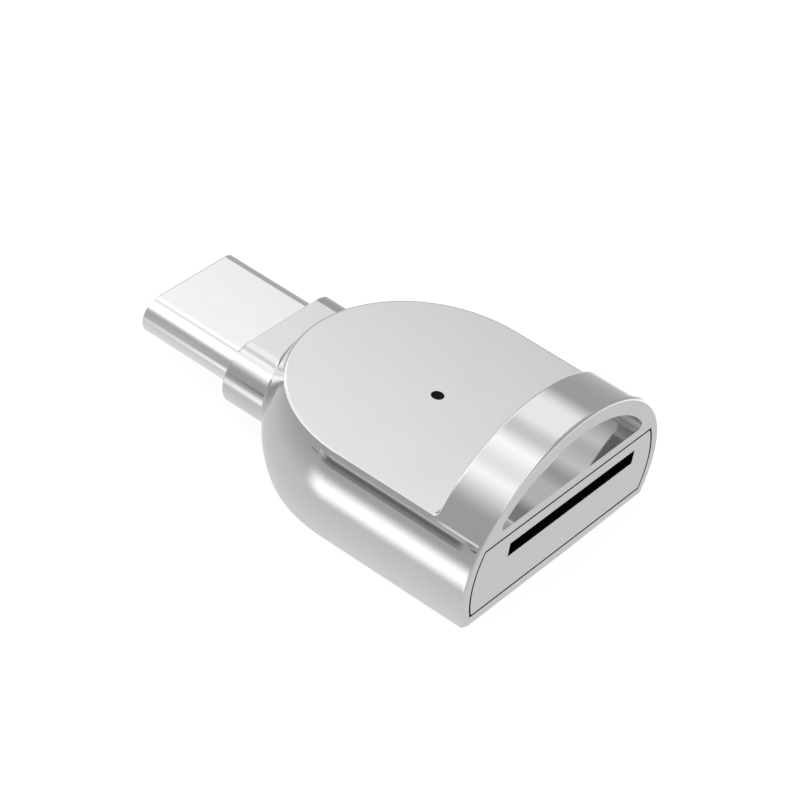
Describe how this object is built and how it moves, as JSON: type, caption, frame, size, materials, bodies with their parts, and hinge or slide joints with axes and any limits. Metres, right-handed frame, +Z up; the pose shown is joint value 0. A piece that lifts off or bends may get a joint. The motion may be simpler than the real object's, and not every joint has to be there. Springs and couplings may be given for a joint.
{
  "type": "usb memory card reader",
  "caption": "Small metal memory card reader: oval die-cast body with a round nose, reversible plug in front, key loop over the deck and a card slot in the rear cap.",
  "frame": {"origin": "on the base plane, under the middle of the reader's length and width", "axes": "+Y from the card slot to the plug, +Z up from the base, +X to the right seen from the slot"},
  "size_m": [0.018, 0.0278, 0.0103],
  "materials": {
    "plated_body": "satin nickel plating on a zinc die-casting",
    "plated_cap": "satin nickel plating, flat",
    "plug_steel": "drawn steel, nickel plated",
    "black_insulator": "moulded, matt",
    "gold_contacts": "gold plated",
    "spring_steel": "stamped",
    "board_laminate": "glass laminate with solder mask",
    "chip_resin": "moulded resin",
    "crystal_can": "metal lid",
    "capacitor_ceramic": "ceramic with tinned ends",
    "resistor_film": "coated film with tinned ends",
    "lamp_resin": "clear resin on a white base",
    "smoked_guide": "smoked, polished",
    "socket_resin": "moulded, matt",
    "socket_steel": "folded sheet"
  },
  "bodies": {
    "root": {"housing": "plated_body", "rear_cap": "plated_cap", "plug_shell": "plug_steel", "plug_front_insulator": "black_insulator", "plug_rear_insulator": "black_insulator", "plug_contacts_top": "gold_contacts", "plug_contacts_bottom": "gold_contacts", "plug_latch_plate": "spring_steel", "plug_spring_top": "spring_steel", "plug_spring_bottom": "spring_steel", "circuit_board": "board_laminate", "controller_chip": "chip_resin", "crystal": "crystal_can", "capacitors": "capacitor_ceramic", "resistors": "resistor_film", "indicator_lamp": "lamp_resin", "light_guide": "smoked_guide", "socket_base": "socket_resin", "socket_cover": "socket_steel", "socket_contacts": "gold_contacts", "card_detect_spring": "spring_steel"}
  },
  "joints": []
}
